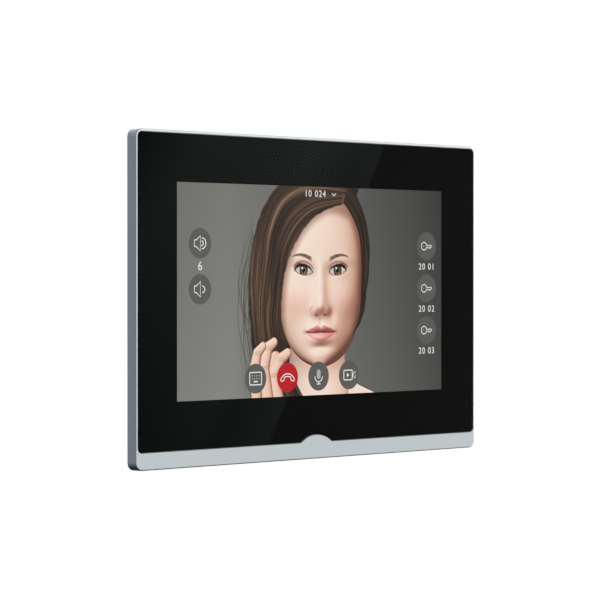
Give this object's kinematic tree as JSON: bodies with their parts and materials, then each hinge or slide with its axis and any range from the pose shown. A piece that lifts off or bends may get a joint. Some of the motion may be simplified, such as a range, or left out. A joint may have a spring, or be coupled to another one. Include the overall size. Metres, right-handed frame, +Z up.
{
  "type": "video intercom monitor",
  "caption": "Flat wall-hung touch monitor for a video door intercom, with an aluminium frame, full-face black glass, rear connection bay and a hook-on steel wall bracket.",
  "frame": {"origin": "centre of the wall bracket's four screw holes, on the wall plane", "axes": "+X to the right of a person who faces the screen, +Y into the wall, +Z up; the screen faces -Y"},
  "size_m": [0.197, 0.0243, 0.1318],
  "materials": {
    "frame_aluminium": "satin anodised",
    "cover_glass": "polished, anti-reflective",
    "black_ink": "gloss black behind glass",
    "housing_plastic": "fine spark-eroded texture",
    "bracket_steel": "zinc plated",
    "chassis_steel": "zinc plated sheet",
    "screw_steel": "black zinc",
    "screen_cell": "screen, switched on",
    "clear_film": "clear film",
    "white_film": "white reflector",
    "tape_black": "black foam tape",
    "circuit_board": "green solder mask",
    "chip_black": "moulded package",
    "thermal_pad": "soft thermal pad",
    "bare_aluminium": "bare aluminium",
    "nickel": "nickel plated",
    "gold_contacts": "gold plated",
    "connector_black": "connector plastic",
    "connector_green": "green terminal plastic",
    "connector_white": "natural nylon",
    "cone_paper": "treated paper cone",
    "soft_rubber": "soft rubber",
    "microphone_metal": "pressed can",
    "wire_insulation": "wire insulation",
    "flat_cable": "polyimide flat cable"
  },
  "bodies": {
    "bracket": {"wall_bracket": "bracket_steel"},
    "monitor": {"front_frame": "frame_aluminium", "cover_glass": "cover_glass", "ink_border": "black_ink", "rear_housing": "housing_plastic", "chassis_plate": "chassis_steel", "lcd_back_tray": "chassis_steel", "lcd_bezel": "chassis_steel", "chassis_screws": "screw_steel", "board_screws": "screw_steel", "housing_screws": "screw_steel", "lcd_cell": "screen_cell", "touch_sensor": "clear_film", "optical_films": "clear_film", "light_guide": "clear_film", "reflector_sheet": "white_film", "led_strip": "white_film", "adhesive_tape": "tape_black", "speaker_gasket": "tape_black", "main_board": "circuit_board", "processor": "chip_black", "memory_chips": "chip_black", "flash_memory": "chip_black", "audio_amplifier": "chip_black", "power_transformer": "chip_black", "power_inductor": "chip_black", "ethernet_transformer": "chip_black", "thermal_pad": "thermal_pad", "heat_sink": "bare_aluminium", "electrolytic_capacitors": "bare_aluminium", "rj45_shield": "nickel", "shield_can": "nickel", "crystal": "nickel", "coin_cell": "nickel", "microsd_socket": "nickel", "speaker_magnet": "nickel", "rj45_contacts": "gold_contacts", "terminal_pins": "gold_contacts", "rj45_body": "connector_black", "coin_cell_holder": "connector_black", "reset_switch": "connector_black", "speaker_basket": "connector_black", "terminal_header": "connector_green", "flat_cable_connectors": "connector_white", "lead_connectors": "connector_white", "speaker_surround": "soft_rubber", "microphone_boot": "soft_rubber", "microphone": "microphone_metal", "speaker_lead": "wire_insulation", "microphone_lead": "wire_insulation", "lcd_flat_cable": "flat_cable", "touch_flat_cable": "flat_cable"},
    "supply_plug": {"terminal_plug": "connector_green", "terminal_screws": "nickel"},
    "memory_card": {"microsd_card": "connector_black"},
    "reset_button": {"reset_plunger": "connector_white"},
    "cone": {"speaker_cone": "cone_paper"}
  },
  "joints": [
    {"name": "monitor_lift", "type": "slide", "parent": "bracket", "child": "monitor", "axis": [0, 0, 1], "range_m": [0, 0.008]},
    {"name": "plug_pull", "type": "slide", "parent": "monitor", "child": "supply_plug", "axis": [0, 0, -1], "range_m": [0, 0.009]},
    {"name": "card_slide", "type": "slide", "parent": "monitor", "child": "memory_card", "axis": [1, 0, 0], "range_m": [-0.0006, 0.012]},
    {"name": "reset_press", "type": "slide", "parent": "monitor", "child": "reset_button", "axis": [0, -1, 0], "range_m": [0, 0.0003], "stiffness_N_per_m": 1000},
    {"name": "cone_travel", "type": "slide", "parent": "monitor", "child": "cone", "axis": [0, 1, 0], "range_m": [-0.0003, 0.0003], "stiffness_N_per_m": 800}
  ]
}
